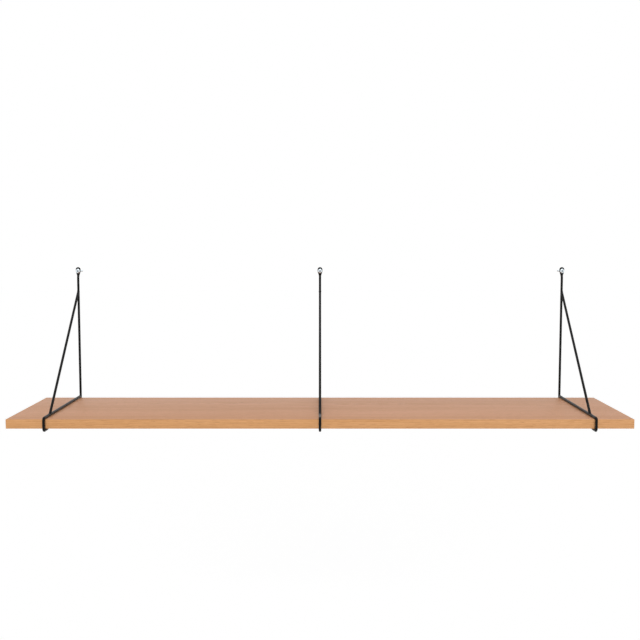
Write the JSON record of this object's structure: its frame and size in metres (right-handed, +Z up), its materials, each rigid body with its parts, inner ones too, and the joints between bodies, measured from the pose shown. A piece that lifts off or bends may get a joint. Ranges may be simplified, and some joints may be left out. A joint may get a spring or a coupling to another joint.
{
  "type": "wall shelf with brackets",
  "caption": "Veneered oak board held in bent-wire brackets with hooked fronts, each hung by a flattened eye on one wall screw.",
  "frame": {"origin": "where the middle screw's axis meets the wall", "axes": "+X along the board to the right as seen from the room, +Y into the wall, +Z up"},
  "size_m": [1.2, 0.303, 0.3094],
  "materials": {
    "oak_face": "satin lacquered oak veneer, fine grain along the board",
    "oak_edge": "satin lacquered oak edge band, grain along the edge",
    "board_core": "fine pressed wood fibre, covered all round",
    "black_coating": "semi-gloss black powder coat on steel",
    "zinc": "bright zinc plate"
  },
  "bodies": {
    "wall_screws": {"left_screw": "zinc", "middle_screw": "zinc", "right_screw": "zinc"},
    "left_bracket": {"left_hanger_rod": "black_coating", "left_shelf_rod": "black_coating", "left_brace_rod": "black_coating", "left_welds": "black_coating"},
    "middle_bracket": {"middle_hanger_rod": "black_coating", "middle_shelf_rod": "black_coating", "middle_brace_rod": "black_coating", "middle_welds": "black_coating"},
    "right_bracket": {"right_hanger_rod": "black_coating", "right_shelf_rod": "black_coating", "right_brace_rod": "black_coating", "right_welds": "black_coating"},
    "shelf_board": {"board_core": "board_core", "top_veneer": "oak_face", "bottom_veneer": "oak_face", "front_edge_band": "oak_edge", "rear_edge_band": "oak_edge", "left_edge_band": "oak_edge", "right_edge_band": "oak_edge"}
  },
  "joints": [
    {"name": "middle_sway", "type": "hinge", "parent": "wall_screws", "child": "middle_bracket", "pos_m": [0, 0, 0], "axis": [0, 1, 0], "range_deg": [-10, 10]},
    {"name": "left_sway", "type": "hinge", "parent": "wall_screws", "child": "left_bracket", "pos_m": [-0.526, 0, 0], "axis": [0, 1, 0], "range_deg": [-10, 10]},
    {"name": "right_sway", "type": "hinge", "parent": "wall_screws", "child": "right_bracket", "pos_m": [0.526, 0, 0], "axis": [0, 1, 0], "range_deg": [-10, 10]},
    {"name": "board_level", "type": "hinge", "parent": "middle_bracket", "child": "shelf_board", "pos_m": [0, -0.1325, -0.286], "axis": [0, 1, 0], "range_deg": [-10, 10]}
  ],
  "couplings": [
    {"joint": "left_sway", "follows": "middle_sway", "ratio": 1},
    {"joint": "right_sway", "follows": "middle_sway", "ratio": 1},
    {"joint": "board_level", "follows": "middle_sway", "ratio": -1}
  ]
}
